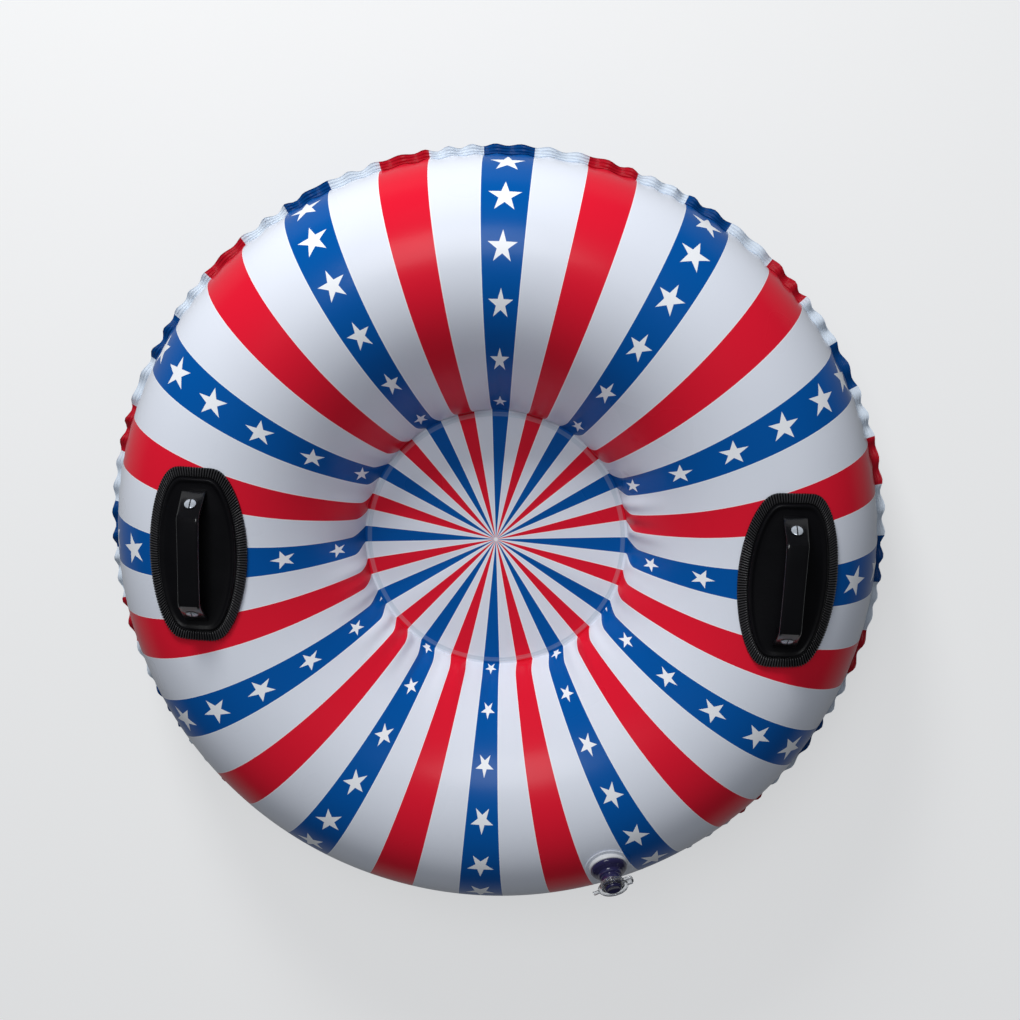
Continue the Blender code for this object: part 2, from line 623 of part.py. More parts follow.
def build_valve(top):
    frame = valve_frame()
    hole = disc_solid("valve_hole_cutter", [
        (0, -VALVE_HOLE_RADIUS), (VALVE_HOLE_RADIUS, -VALVE_HOLE_RADIUS),
        (VALVE_HOLE_RADIUS, VALVE_HOLE_RADIUS), (0, VALVE_HOLE_RADIUS)], VALVE_SIDES, "valve_white", frame)
    cut(top, hole)
    build_weld_disc(frame)

    lip = COLLAR_INNER_RADIUS - SEAT_CLEARANCE
    shoulder_r = STEM_RADIUS + SEAT_CLEARANCE
    tube_solid("valve_cup", [
        (lip, 0.0), (lip, CUP_LIP_HEIGHT), (shoulder_r + CUP_WALL, CUP_TOP), (shoulder_r, CUP_TOP),
        (shoulder_r, CUP_TOP - CUP_WALL * 1.6), (lip - CUP_WALL, CUP_LIP_HEIGHT - CUP_WALL * 0.4),
        (lip - CUP_WALL, 0.0)], VALVE_SIDES, "valve_purple", frame)

    shoulder_z = CUP_TOP + SEAT_CLEARANCE
    tube_solid("valve_stem", [
        (BORE_RADIUS, STEM_FOOT), (STEM_RADIUS, STEM_FOOT), (STEM_RADIUS, shoulder_z),
        (STEM_RADIUS + SHOULDER, shoulder_z), (STEM_RADIUS + SHOULDER, shoulder_z + SHOULDER),
        (STEM_RADIUS, shoulder_z + 2 * SHOULDER), (STEM_RADIUS, STEM_HEIGHT - STEM_RIM),
        (STEM_RIM_RADIUS, STEM_HEIGHT - STEM_RIM), (STEM_RIM_RADIUS, STEM_HEIGHT),
        (BORE_RADIUS, STEM_HEIGHT)], VALVE_SIDES, "valve_purple", frame)

    flap_top = STEM_FOOT - SEAT_CLEARANCE
    flap_radius = BORE_RADIUS + FLAP_OVERLAP
    disc_solid("valve_flap", [
        (0, flap_top - FLAP), (flap_radius, flap_top - FLAP), (flap_radius, flap_top), (0, flap_top)],
        VALVE_SIDES, "valve_clear", frame)

    disc_z = STEM_HEIGHT + SEAT_CLEARANCE
    plug_r = BORE_RADIUS - PLUG_TOP_CLEARANCE
    top_z = disc_z + CAP_DISC
    cap = disc_solid("valve_cap", [
        (0, disc_z - PLUG_LENGTH), (plug_r - PLUG_TAPER, disc_z - PLUG_LENGTH), (plug_r, disc_z),
        (CAP_RADIUS, disc_z), (CAP_RADIUS, top_z), (CAP_KNOB_RADIUS, top_z),
        (CAP_KNOB_RADIUS * 0.8, top_z + CAP_KNOB), (0, top_z + CAP_KNOB)], VALVE_SIDES, "valve_purple", frame)
    sink = CAP_RADIUS * 0.15
    fuse(cap, box_solid(
        "cap_pull_tab", (-CAP_RADIUS - PULL_TAB_LENGTH, -HINGE_STRAP_WIDTH / 2, disc_z + CAP_DISC * 0.2),
        (sink - CAP_RADIUS, HINGE_STRAP_WIDTH / 2, top_z - CAP_DISC * 0.2), "valve_clear", frame))
    fuse(cap, box_solid(
        "cap_hinge_lug", (CAP_RADIUS - sink, -HINGE_STRAP_WIDTH / 2, disc_z + CAP_DISC * 0.2),
        (HINGE_REACH, HINGE_STRAP_WIDTH / 2, top_z - CAP_DISC * 0.2), "valve_clear", frame))
    knuckle_z = disc_z + CAP_DISC / 2
    across = frame @ Matrix.Translation((HINGE_REACH, 0, knuckle_z)) @ Matrix.Rotation(math.pi / 2, 4, "X")
    half = HINGE_STRAP_WIDTH / 2 - SEAT_CLEARANCE
    fuse(cap, disc_solid("cap_hinge_knuckle", [
        (0, -half), (CAP_DISC / 2, -half), (CAP_DISC / 2, half), (0, half)],
        KNUCKLE_SIDES, "valve_clear", across))

    ring_top = STEM_HEIGHT - STEM_RIM - SEAT_CLEARANCE
    ring_low = ring_top - TETHER_RING_HEIGHT
    ring_inner = STEM_RADIUS + SEAT_CLEARANCE
    ring_outer = ring_inner + TETHER_RING_WALL
    tether = tube_solid("valve_tether", [
        (ring_inner, ring_low), (ring_outer, ring_low), (ring_outer, ring_top), (ring_inner, ring_top)],
        VALVE_SIDES, "valve_clear", frame)
    arm_end = HINGE_REACH + HINGE_POST / 2
    post_top = knuckle_z - CAP_DISC / 2 - SEAT_CLEARANCE
    fuse(tether, box_solid(
        "tether_arm", (ring_outer - TETHER_RING_WALL / 2, -HINGE_STRAP_WIDTH / 2, ring_low),
        (arm_end, HINGE_STRAP_WIDTH / 2, ring_top), "valve_clear", frame))
    fuse(tether, box_solid(
        "tether_post", (arm_end - HINGE_POST, -HINGE_STRAP_WIDTH * 0.4, ring_low + TETHER_RING_HEIGHT / 2),
        (arm_end - HINGE_POST * 0.05, HINGE_STRAP_WIDTH * 0.4, post_top), "valve_clear", frame))
    return frame


def main():
    clear_scene()
    top, _ = build_skins()
    build_handle("right", 1)
    build_handle("left", -1)
    frame = build_valve(top)
    flap_z = STEM_FOOT - SEAT_CLEARANCE
    flap_edge = BORE_RADIUS + FLAP_OVERLAP
    hinge_z = STEM_HEIGHT + SEAT_CLEARANCE + CAP_DISC / 2
    print("seat top", SEAT_TOP, "seam", SEAM_HEIGHT, "crest", CREST[0], CREST_HEIGHT)
    print("contact radii", LOWEST[0] - BASE_CONTACT_WIDTH / 2, LOWEST[0] + BASE_CONTACT_WIDTH / 2)
    print("valve origin", tuple(frame.translation), "out", tuple(frame.col[2][:3]))
    print("cap hinge", tuple(frame @ Vector((HINGE_REACH, 0, hinge_z))), "axis", tuple(frame.col[1][:3]))
    print("flap hinge", tuple(frame @ Vector((flap_edge, 0, flap_z))), "axis", tuple(frame.col[1][:3]))
    print("pad seat", PAD_SEAT, "bar underside", GRIP_BASE + GRIP_RISE)


main()
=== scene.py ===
import math

import bmesh
import bpy
import numpy as np
from mathutils import Matrix, Vector


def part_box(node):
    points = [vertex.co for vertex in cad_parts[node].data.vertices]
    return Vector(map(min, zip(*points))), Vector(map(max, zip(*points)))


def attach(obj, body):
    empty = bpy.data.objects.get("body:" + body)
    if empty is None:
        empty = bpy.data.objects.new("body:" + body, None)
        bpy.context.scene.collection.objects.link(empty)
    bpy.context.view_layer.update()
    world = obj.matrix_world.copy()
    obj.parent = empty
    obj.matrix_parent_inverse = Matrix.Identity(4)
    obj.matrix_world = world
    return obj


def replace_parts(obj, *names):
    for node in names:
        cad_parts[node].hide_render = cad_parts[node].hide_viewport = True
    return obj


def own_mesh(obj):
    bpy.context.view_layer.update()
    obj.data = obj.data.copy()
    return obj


# Inflatable snow tube: what is seen of it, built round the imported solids.
# Metres, +Z up, +X towards the right handle, the valve low on the -Y side.

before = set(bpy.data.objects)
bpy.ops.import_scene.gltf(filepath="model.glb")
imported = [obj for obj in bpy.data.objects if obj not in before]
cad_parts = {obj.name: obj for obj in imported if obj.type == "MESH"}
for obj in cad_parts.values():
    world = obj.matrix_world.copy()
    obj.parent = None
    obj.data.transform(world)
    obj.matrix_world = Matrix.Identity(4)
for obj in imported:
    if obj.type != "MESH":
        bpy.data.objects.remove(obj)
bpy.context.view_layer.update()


def lerp(a, b, share):
    return a + (b - a) * share


def ease(low, high, value):
    share = np.clip((value - low) / (high - low), 0.0, 1.0)
    return share * share * (3 - 2 * share)


def rounded(value, power):  # a sine or cosine pulled out towards a box's corner
    return np.sign(value) * np.abs(value) ** power


def closedWave(angle, seed, lowest, highest, count=7):
    # an uneven wave made of whole-numbered turns, so that it closes round the tube
    noise = np.random.RandomState(seed)
    total = np.zeros_like(angle)
    for _ in range(count):
        turns = noise.randint(lowest, highest)
        total += np.sin(turns * angle + noise.uniform(0, 2 * math.pi)) * noise.uniform(0.5, 1.0)
    return total / math.sqrt(count)


class Mesh:  # points and faces gathered in rows, then made into one smooth piece

    def __init__(self):
        self.points = []
        self.faces = []
        self.values = []

    def ring(self, points, value=0.0):
        first = len(self.points)
        self.points.extend([tuple(p) for p in points])
        self.values.extend(np.broadcast_to(value, len(points)).tolist())
        return list(range(first, first + len(points)))

    def join(self, ring, following, closed=True):
        if len(ring) == 1:
            ring = ring * len(following)
        if len(following) == 1:
            following = following * len(ring)
        count = len(ring)
        for i in range(count if closed else count - 1):
            j = (i + 1) % count
            corners = []
            for corner in (ring[i], ring[j], following[j], following[i]):
                if corner not in corners:
                    corners.append(corner)
            self.faces.append(corners)

    def joinAll(self, rings, loop=False, closed=True):
        for ring, following in zip(rings, rings[1:] + (rings[:1] if loop else [])):
            self.join(ring, following, closed)

    def capEnds(self, rings):
        self.faces += [list(rings[0]), list(rings[-1])]

    def build(self, name, material, body, smooth=40.0, attribute=None, place=None):
        mesh = bpy.data.meshes.new(name)
        mesh.from_pydata(self.points, [], self.faces)
        if attribute:
            stored = mesh.attributes.new(attribute, "FLOAT", "POINT")
            stored.data.foreach_set("value", np.array(self.values, np.float32))
        builder = bmesh.new()
        builder.from_mesh(mesh)
        bmesh.ops.recalc_face_normals(builder, faces=builder.faces)
        builder.to_mesh(mesh)
        builder.free()
        mesh.shade_smooth()
        mesh.set_sharp_from_angle(angle=math.radians(smooth))
        mesh.materials.append(material)
        made = bpy.data.objects.new(name, mesh)
        bpy.context.scene.collection.objects.link(made)
        if place is not None:
            mesh.transform(place)
        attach(made, body)
        return made


class Field:  # a socket that plain expressions can add, multiply and compare

    def __init__(self, nodes, socket):
        self.nodes = nodes
        self.socket = socket

    def math(self, operation, *others):
        return self.nodes.math(operation, self, *others)

    def __add__(self, other):
        return self.math("ADD", other)

    def __radd__(self, other):
        return self.math("ADD", other)

    def __sub__(self, other):
        return self.math("SUBTRACT", other)

    def __rsub__(self, other):
        return self.nodes.math("SUBTRACT", other, self)

    def __mul__(self, other):
        return self.math("MULTIPLY", other)

    def __rmul__(self, other):
        return self.math("MULTIPLY", other)

    def __truediv__(self, other):
        return self.math("DIVIDE", other)

    def sin(self):
        return self.math("SINE")

    def cos(self):
        return self.math("COSINE")

    def absolute(self):
        return self.math("ABSOLUTE")

    def nearest(self):
        return self.math("ROUND")

    def largest(self, other):
        return self.math("MAXIMUM", other)

    def clamped(self):
        return self.math("MINIMUM", 1.0).math("MAXIMUM", 0.0)

    def step(self, low, high):
        share = ((self - low) / (high - low)).clamped()
        return share * share * (3.0 - 2.0 * share)


class Nodes:  # a node tree, in which one method makes every node

    def __init__(self, tree):
        self.tree = tree

    def node(self, kind, inputs=(), **settings):
        made = self.tree.nodes.new(kind)
        for key, value in settings.items():
            setattr(made, key, value)
        for key, value in dict(inputs).items():
            self.feed(made.inputs[key], value)
        return made

    def feed(self, socket, value):
        if isinstance(value, Field):
            self.tree.links.new(value.socket, socket)
        elif isinstance(value, tuple) and socket.type == "RGBA":
            socket.default_value = (*value, 1.0)
        else:
            socket.default_value = value

    def math(self, operation, *values):
        return Field(self, self.node("ShaderNodeMath", enumerate(values), operation=operation).outputs[0])

    def mix(self, share, first, second):
        sockets = {"Factor": share, 6: first, 7: second}  # 6 and 7 are the colours A and B
        return Field(self, self.node("ShaderNodeMix", sockets, data_type="RGBA").outputs[2])

    def rays(self, *kinds):
        path = self.node("ShaderNodeLightPath")
        return [Field(self, path.outputs[f"Is {kind} Ray"]) for kind in kinds]


class Shader(Nodes):  # one material with its surface

    def __init__(self, name, **surface):
        self.material = bpy.data.materials.new(name)
        self.material.use_nodes = True
        super().__init__(self.material.node_tree)
        self.surface = self.tree.nodes["Principled BSDF"]
        self.coordinates = None
        self.set(**surface)

    def position(self):
        if self.coordinates is None:
            self.coordinates = Field(self, self.node("ShaderNodeTexCoord").outputs["Object"])
        return self.coordinates

    def xyz(self):
        split = self.node("ShaderNodeSeparateXYZ", {0: self.position()})
        return [Field(self, socket) for socket in split.outputs]

    def attribute(self, name):
        return Field(self, self.node("ShaderNodeAttribute", attribute_name=name).outputs["Fac"])

    def noise(self, scale, detail=2.0):
        sockets = {"Vector": self.position(), "Scale": scale, "Detail": detail}
        return Field(self, self.node("ShaderNodeTexNoise", sockets).outputs[0])

    def cells(self, scale):
        sockets = {"Vector": self.position(), "Scale": scale}
        return Field(self, self.node("ShaderNodeTexVoronoi", sockets).outputs["Distance"])

    def bump(self, height, strength, distance):
        sockets = {"Height": height, "Strength": strength, "Distance": distance}
        self.set(Normal=Field(self, self.node("ShaderNodeBump", sockets).outputs[0]))

    def set(self, **values):
        for key, value in values.items():
            self.feed(self.surface.inputs[key.replace("_", " ")], value)
        return self.material


# Air chamber: each wall is the curve that a slack sheet takes between the seat's weld and the seam

tube = {
    "seamRadius": 0.463,
    "rimWidth": 0.012,
    "seatRadius": 0.1635,
    "seatDrop": 0.020,
    "sheetGap": 0.0017,       # from the top sheet's seat down to the under sheet's
    "seamHalf": 0.0007,       # from the middle of the rim's weld to either sheet
    "turns": 640,
    "seatRows": 26,
    "wallRows": 120,
    "wallSpread": 1.05,       # over 1 packs the rows towards the seat
    "rimRows": 8,
    "sharpAngle": 48.0,
}

wallCurve = {
    "steps": 900,
    "halvings": 40,
    "gentlest": math.radians(25),
    "steepest": math.radians(100),
}


def slackSection(inner, outer, rise):  # rows of radius, height, slope and length walked
    step = (outer - inner) / wallCurve["steps"]

    def walk(start):
        bend = 2 * (1 + math.sin(start)) / (outer**2 - inner**2)
        r, z, slope, arc = inner, 0.0, start, 0.0
        points = [(r, z, slope, arc)]
        while slope > -math.pi / 2:
            middle = slope - 0.5 * step * bend * r
            r += step * math.cos(middle)
            z += step * math.sin(middle)
            slope -= step * bend * r
            arc += step
            points.append((r, z, slope, arc))
        return points

    low, high = wallCurve["gentlest"], wallCurve["steepest"]
    for _ in range(wallCurve["halvings"]):
        middle = (low + high) / 2
        if walk(middle)[-1][1] > rise:
            high = middle
        else:
            low = middle
    points = np.array(walk((low + high) / 2))
    points[-1, :3] = (outer, rise, -math.pi / 2)
    return points


def atArc(section, arc):
    return [np.interp(arc, section[:, 3], section[:, k]) for k in range(3)]


topSection = slackSection(tube["seatRadius"], tube["seamRadius"], tube["seatDrop"])
bottomSection = slackSection(tube["seatRadius"], tube["seamRadius"], -tube["seatDrop"])
topLength = topSection[-1, 3]
bottomLength = bottomSection[-1, 3]
crestRadius, crestRise = topSection[np.argmax(topSection[:, 1]), :2]
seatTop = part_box("top_skin")[1].z - crestRise
seamHeight = seatTop + tube["seatDrop"]
crestHeight = seatTop + crestRise
print("seat", seatTop, "crest", crestRadius, crestHeight)


def topHeight(radius):  # the smooth top sheet over the floor
    inside = topSection[:, 0]
    keep = np.concatenate([[True], np.diff(np.maximum.accumulate(inside)) > 0])
    return seatTop + np.interp(radius, inside[keep], topSection[keep, 1])


# Crinkled rim and the gathers that run from it into the wall

rim = {
    "waves": 100,
    "wander": 1.1,
    "height": 0.0042,
    "middleSize": 0.80,
    "sizeSwing": 0.34,
    "sizeLimits": (0.25, 1.25),
    "scallop": 0.0048,
    "scallopLag": 0.7,
    "scallopMiddle": 0.6,
    "scallopSwing": 0.4,
    "scallopLimits": (0.1, 1.0),
    "seamShare": 0.35,        # of the wave, where the wall meets the rim
    "seamReach": 0.035,
    "gather": 0.0011,
    "gatherReach": 0.055,
    "fineShare": 0.6,
}


def rimPhase(angle):
    return rim["waves"] * angle + rim["wander"] * closedWave(angle, 3, 5, 19)


def rimLift(angle):  # the same for both sheets
    size = rim["middleSize"] + rim["sizeSwing"] * closedWave(angle, 8, 9, 41)
    return rim["height"] * np.sin(rimPhase(angle)) * np.clip(size, *rim["sizeLimits"])


def rimNotch(angle):  # how far the rim's edge stands in
    size = rim["scallopMiddle"] + rim["scallopSwing"] * closedWave(angle, 17, 11, 37)
    cut = 0.5 + 0.5 * np.cos(rimPhase(angle) + rim["scallopLag"])
    return rim["scallop"] * cut * np.clip(size, *rim["scallopLimits"])


def gatherLift(arc, length, angle):
    near = float(ease(length - rim["gatherReach"], length, arc))
    fine = rim["fineShare"] * closedWave(angle, 31, 60, 150)
    return rim["gather"] * near * near * (np.sin(rimPhase(angle)) + fine)


# Puckers round the seat, and the slack seat itself

puckers = {
    "count": 12,
    "bulge": 0.006,
    "reach": 0.120,
    "foldDepth": 0.0008,
    "foldsRise": (0.0, 0.012),
    "foldsFade": (0.02, 0.10),
    "foldShare": 0.35,        # of the fold's depth, in the puckers' valleys
}

seat = {
    "ripple": 0.0007,
    "rippleRise": (0.02, 0.10),
    "rippleFade": (0.148, 0.153),
    "band": 0.0004,
    "bandRise": (0.1545, 0.1560),
}


def puckerLift(arc, angle):
    along = math.sin(math.pi * math.sqrt(min(arc / puckers["reach"], 1.0))) ** 2
    lobes = np.abs(np.sin(puckers["count"] * angle / 2))
    folds = closedWave(angle, 21, 17, 61) * puckers["foldDepth"] * float(ease(*puckers["foldsRise"], arc))
    fade = 1 - float(ease(*puckers["foldsFade"], arc))
    return puckers["bulge"] * along * lobes + folds * fade * (puckers["foldShare"] + lobes)


def seatLift(radius, side, angle):
    share = float(ease(*seat["rippleRise"], radius) * (1 - ease(*seat["rippleFade"], radius)))
    band = seat["band"] * float(ease(*seat["bandRise"], radius))
    return closedWave(angle, 12, 7, 25) * seat["ripple"] * share + side * band


def cutValveHole(mesh):
    inward = np.array(valveFrame().inverted())
    local = np.array(mesh.points) @ inward[:3, :3].T + inward[:3, 3]
    inside = np.hypot(local[:, 0], local[:, 1]) < valve["hole"]
    inHole = inside & (np.abs(local[:, 2]) < valve["holeDepth"])
    mesh.faces = [face for face in mesh.faces if not inHole[face].any()]


def makeSheet(name, section, side, seatHeight, material, node):
    angle = np.arange(tube["turns"]) * 2 * math.pi / tube["turns"]
    lift, notch = rimLift(angle), rimNotch(angle)
    length = section[-1, 3]
    mesh = Mesh()
    rows = [mesh.ring([(0, 0, seatHeight)], -tube["seatRadius"])]

    def row(radius, height, value):
        points = np.stack([radius * np.cos(angle), radius * np.sin(angle), height + 0 * angle], 1)
        rows.append(mesh.ring(points.tolist(), value))

    for i in range(1, tube["seatRows"]):
        radius = tube["seatRadius"] * i / tube["seatRows"]
        row(radius, seatHeight + seatLift(radius, side, angle), radius - tube["seatRadius"])
    for i in range(tube["wallRows"] + 1):
        arc = length * (i / tube["wallRows"]) ** tube["wallSpread"]
        radius, height, slope = atArc(section, arc)
        proud = puckerLift(arc, angle) + gatherLift(arc, length, angle)
        seamShare = float(ease(length - rim["seamReach"], length, arc)) * rim["seamShare"]
        z = seatHeight + side * (height + math.cos(slope) * proud) + seamShare * lift
        if side < 0:
            z = np.maximum(z, 0.0)  # nothing sinks into the snow
        row(radius - math.sin(slope) * proud, z, arc)
    for i in range(1, tube["rimRows"] + 1):
        share = i / tube["rimRows"]
        z = seamHeight + side * tube["seamHalf"] + lerp(rim["seamShare"], 1.0, share) * lift
        row(tube["seamRadius"] + (tube["rimWidth"] - notch) * share, z, length + tube["rimWidth"] * share)
    row(tube["seamRadius"] + tube["rimWidth"] - notch, seamHeight + lift, length + tube["rimWidth"])
    mesh.joinAll(rows)
    if side > 0:
        cutValveHole(mesh)
    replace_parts(mesh.build(name, material, "tube", tube["sharpAngle"], "skinArc"), node)


# Print of the top sheet: stripes run out from the middle, with stars on the blue ones

printing = {
    "white": (0.77, 0.815, 0.915),
    "outline": (0.90, 0.93, 0.98),
    "red": (0.74, 0.010, 0.032),
    "blue": (0.0003, 0.090, 0.375),
    "weldTint": (0.50, 0.60, 0.70),
    "stripeEvery": math.radians(30),
    "stripeHalf": math.radians(3.62),
    "outlineWidth": 0.0009,
    "edge": 0.00035,
    "starPoint": math.radians(72),
    "starHalf": math.radians(2.62),
    "starEdge": 0.012,
    "starRows": (             # place along the wall and size of each row of stars
        (0.381, 0.0207), (0.322, 0.0202), (0.2635, 0.0188), (0.201, 0.0180),
        (0.132, 0.0168), (0.054, 0.0140), (-0.015, 0.0105),
    ),
    "starsFrom": (0.0005, 0.0015),
    "starsStop": 0.004,
    "driftFrom": (-0.004, 0.030),
    "driftTurn": math.radians(3.6),
    "driftReach": 0.39,
    "driftOut": 0.0085,
    "driftIn": 0.0155,
    "driftFade": 0.20,
    "burstRadius": 0.0026,
    "burstEdge": 0.0012,
    "cloudShare": 0.965,
    "cloudScale": 6.0,
    "cloudEdges": (0.35, 0.75),
}

sheetFinish = {
    "grainScale": 900.0,
    "grain": 0.012,
    "wrinkleScale": 14.0,
    "wrinkle": 0.22,
    "rimLines": 0.75,
    "ringLines": 0.25,
    "bump": (0.35, 0.0012),   # strength and distance
    "rough": 0.24,
    "roughSwing": 0.10,
    "roughScale": 9.0,
    "weldRough": 0.06,
}

weld = {
    "rimEdge": (-0.0020, 0.0005),
    "ringFrom": (0.1548, 0.1556),
    "ringTo": (0.1602, 0.1610),
    "rimLines": 0.0038,
    "ringLines": 0.0036,
    "rimTint": 0.62,
    # painted shade: how far the print on the rim is darkened, for the rim lying away from the light,
    # partly the weld's own darker look
    "rimPaintedShade": 0.45,
    "ringTint": (0.16, 0.30),
}


def lineWave(along, spacing):
    return (along * (2 * math.pi / spacing)).sin()


def starMask(shader, along, across):
    # largest of one star for each row, each cut out by five straight edges
    point = printing["starPoint"]
    stars = None
    for place, size in printing["starRows"]:
        up = (along - place) / size
        reach = (up * up + across * across).math("SQRT")
        turn = shader.math("ARCTAN2", across, up)
        fold = (turn - (turn / point).nearest() * point).absolute()
        inside = math.cos(point) - reach * (fold - point).cos()
        star = inside.step(-printing["starEdge"], printing["starEdge"])
        stars = star if stars is None else stars.largest(star)
    return stars


def printedMaterial():
    shader = Shader("printed_sheet", Specular_IOR_Level=0.20, Coat_Weight=0.08, Coat_Roughness=0.18)
    x, y, _ = shader.xyz()
    arc = shader.attribute("skinArc")
    radius = (x * x + y * y).math("SQRT")
    angle = shader.math("ARCTAN2", y, x)
    edge = printing["edge"]

    drift = arc.step(*printing["driftFrom"]) * printing["driftTurn"]
    turned = angle + drift * (1.0 - arc / printing["driftReach"]) * angle.cos()
    every = printing["stripeEvery"]
    aside = turned - (turned / every).nearest() * every
    blueDepth = (printing["stripeHalf"] - aside.absolute()) * radius
    redDepth = (printing["stripeHalf"] - (every / 2 - aside.absolute())) * radius
    burst = (radius - printing["burstRadius"]).step(-printing["burstEdge"], printing["burstEdge"])
    blue = blueDepth.step(-edge, edge)
    red = redDepth.step(-edge, edge)
    halo = (blueDepth.largest(redDepth) + printing["outlineWidth"]).step(-edge, edge)

    shift = printing["driftOut"] + printing["driftIn"] * (1.0 - arc.step(0.0, printing["driftFade"]))
    stars = starMask(shader, arc + shift * angle.sin(), aside / printing["starHalf"])
    offRim = 1.0 - arc.step(topLength - printing["starsStop"], topLength)
    stars = stars * arc.step(*printing["starsFrom"]) * offRim

    paler = tuple(c * printing["cloudShare"] for c in printing["white"])
    cloud = shader.noise(printing["cloudScale"], 3.0).step(*printing["cloudEdges"])
    colour = shader.mix(cloud, printing["white"], paler)
    colour = shader.mix(halo, colour, printing["outline"])
    colour = shader.mix(red * burst, colour, printing["red"])
    colour = shader.mix(blue * burst * (1.0 - stars), colour, printing["blue"])

    rimPart = arc.step(*(topLength + edgeOff for edgeOff in weld["rimEdge"]))
    ringPart = radius.step(*weld["ringFrom"]) * (1.0 - radius.step(*weld["ringTo"]))
    inked = blue.largest(red) * burst
    tint, whiteTint = weld["ringTint"]
    colour = shader.mix(rimPart * weld["rimTint"] * (1.0 - inked), colour, printing["weldTint"])
    # painted shade: the print on the rim's weld is darkened towards black, partly the weld's own darker
    # look
    colour = shader.mix(rimPart * weld["rimPaintedShade"] * inked, colour, (0.0, 0.0, 0.0))
    colour = shader.mix(ringPart * (tint + whiteTint * (1.0 - inked)), colour, printing["weldTint"])

    finish = sheetFinish
    height = lineWave(arc - topLength, weld["rimLines"]) * rimPart * finish["rimLines"]
    height = height + lineWave(radius, weld["ringLines"]) * ringPart * finish["ringLines"]
    height = height + shader.noise(finish["grainScale"], 1.0) * finish["grain"]
    height = height + shader.noise(finish["wrinkleScale"], 3.0) * finish["wrinkle"]
    shader.bump(height, *finish["bump"])
    rough = finish["rough"] + finish["roughSwing"] * shader.noise(finish["roughScale"], 2.0)
    rough = rough + finish["weldRough"] * rimPart.largest(ringPart)
    return shader.set(Base_Color=colour, Roughness=rough)


# Under sheet: plain blue, lightly scuffed

under = {
    "color": (0.010, 0.085, 0.330),
    "scuffGain": 1.6,
    "scuffLift": 0.03,
    "scuffShare": 0.25,
    "scuffScale": 38.0,
    "scuffEdges": (0.56, 0.72),
    "grainScale": 700.0,
    "grain": 0.05,
    "rimLines": 0.4,
    "wrinkle": 0.3,
    "rough": 0.30,
    "roughSwing": 0.12,
    "roughScale": 11.0,
    "scuffRough": 0.10,
}


def underMaterial():
    shader = Shader("under_sheet", Coat_Weight=0.15, Coat_Roughness=0.15)
    arc = shader.attribute("skinArc")
    scuff = shader.noise(under["scuffScale"], 6.0).step(*under["scuffEdges"])
    scuffed = tuple(min(1.0, c * under["scuffGain"] + under["scuffLift"]) for c in under["color"])
    rimPart = arc.step(*(bottomLength + edgeOff for edgeOff in weld["rimEdge"]))
    height = shader.noise(under["grainScale"], 2.0) * under["grain"]
    height = height + lineWave(arc, weld["rimLines"]) * rimPart * under["rimLines"]
    height = height + shader.noise(sheetFinish["wrinkleScale"], 3.0) * under["wrinkle"]
    shader.bump(height, *sheetFinish["bump"])
    rough = under["rough"] + under["roughSwing"] * shader.noise(under["roughScale"], 3.0)
    return shader.set(
        Base_Color=shader.mix(scuff * under["scuffShare"], under["color"], scuffed),
        Roughness=rough + scuff * under["scuffRough"])


# Handles: a ribbed pad drawn over the crest, a bridge grip, and slotted studs

pad = {
    "length": 0.206,
    "width": 0.114,
    "endShare": 0.64,
    "cornerPower": 6.0,
    "outlineSteps": 60,       # in an eighth of the outline
    "ribs": 168,
    "ribProfile": (0.0, 0.50, 0.92, 1.0, 0.92, 0.50),
    "rib": 0.0024,
    "serration": 0.0010,
    "serrationMiddle": 0.6,
    "serrationReach": 0.07,
    "edge": 0.0014,
    "edgeRound": 0.0007,
    "border": 0.0125,
    "borderSwell": 0.0004,
    "ridge": 0.0046,
    "ridgeRise": 0.0006,
    "ridgeWidth": 0.0030,
    "ridgeFall": 0.0008,
    "ridgeFoot": 0.0026,      # from the line's inner side down to the panel
    "floor": 0.0026,
    "floorRound": 0.0003,
    "floorBlend": 0.0012,
    "floorRows": 7,
    "lift": 0.0008,           # over the sheet
    "sharpAngle": 50.0,
    "color": (0.0022, 0.0022, 0.0030),
    # painted highlight: lighter colour for the ribs' crests, standing in for their glints
    "ribPaintedHighlight": (0.036, 0.036, 0.039),
}

grip = {
    "span": 0.098,
    "rise": 0.027,
    "run": 0.026,
    "foot": 0.002,
    "width": 0.0252,
    "footWidth": 0.0282,
    "thickness": 0.0070,
    "slopeThickness": 0.0055,
    "bendThickness": 0.0064,
    "toeThickness": 0.0037,
    "toeBend": 0.0018,
    "bendOut": 0.0030,
    "bendIn": 0.0035,
    "sideRound": 0.42,
    "faceRound": 0.5,
    "gap": 0.0003,
    "sides": 28,
    "sharpAngle": 38.0,
}

boss = {
    "back": 0.004,
    "front": 0.002,
    "gap": 0.0006,
    "edgeRound": 0.0012,
    "flatShare": 0.94,
    "halfWidthShare": 0.40,   # of the grip's width
    "sunkShare": 0.6,         # of the panel's thickness
    "sharpAngle": 30.0,
}

stud = {
    "color": (0.62, 0.68, 0.76),
    "metal": 0.45,
    "radius": 0.0066,
    "base": 0.0010,
    "height": 0.0015,
    "domePower": 0.6,
    "slot": 0.0014,
    "slotFloor": 0.0004,
    "slotEdge": (1.05, 1.3),  # where the slot's sides end and the dome's columns begin
    "steps": 24,
    "place": 0.48,            # of the slope, from its foot
    "footShare": 1.088,
    "seat": (
        (0, -0.0006), (0.0082, -0.0006), (0.0085, 0.0003),
        (0.0082, 0.0009), (0.0072, 0.0011), (0, 0.0010)),
    "seatSides": 48,
    "sharpAngle": 30.0,
}

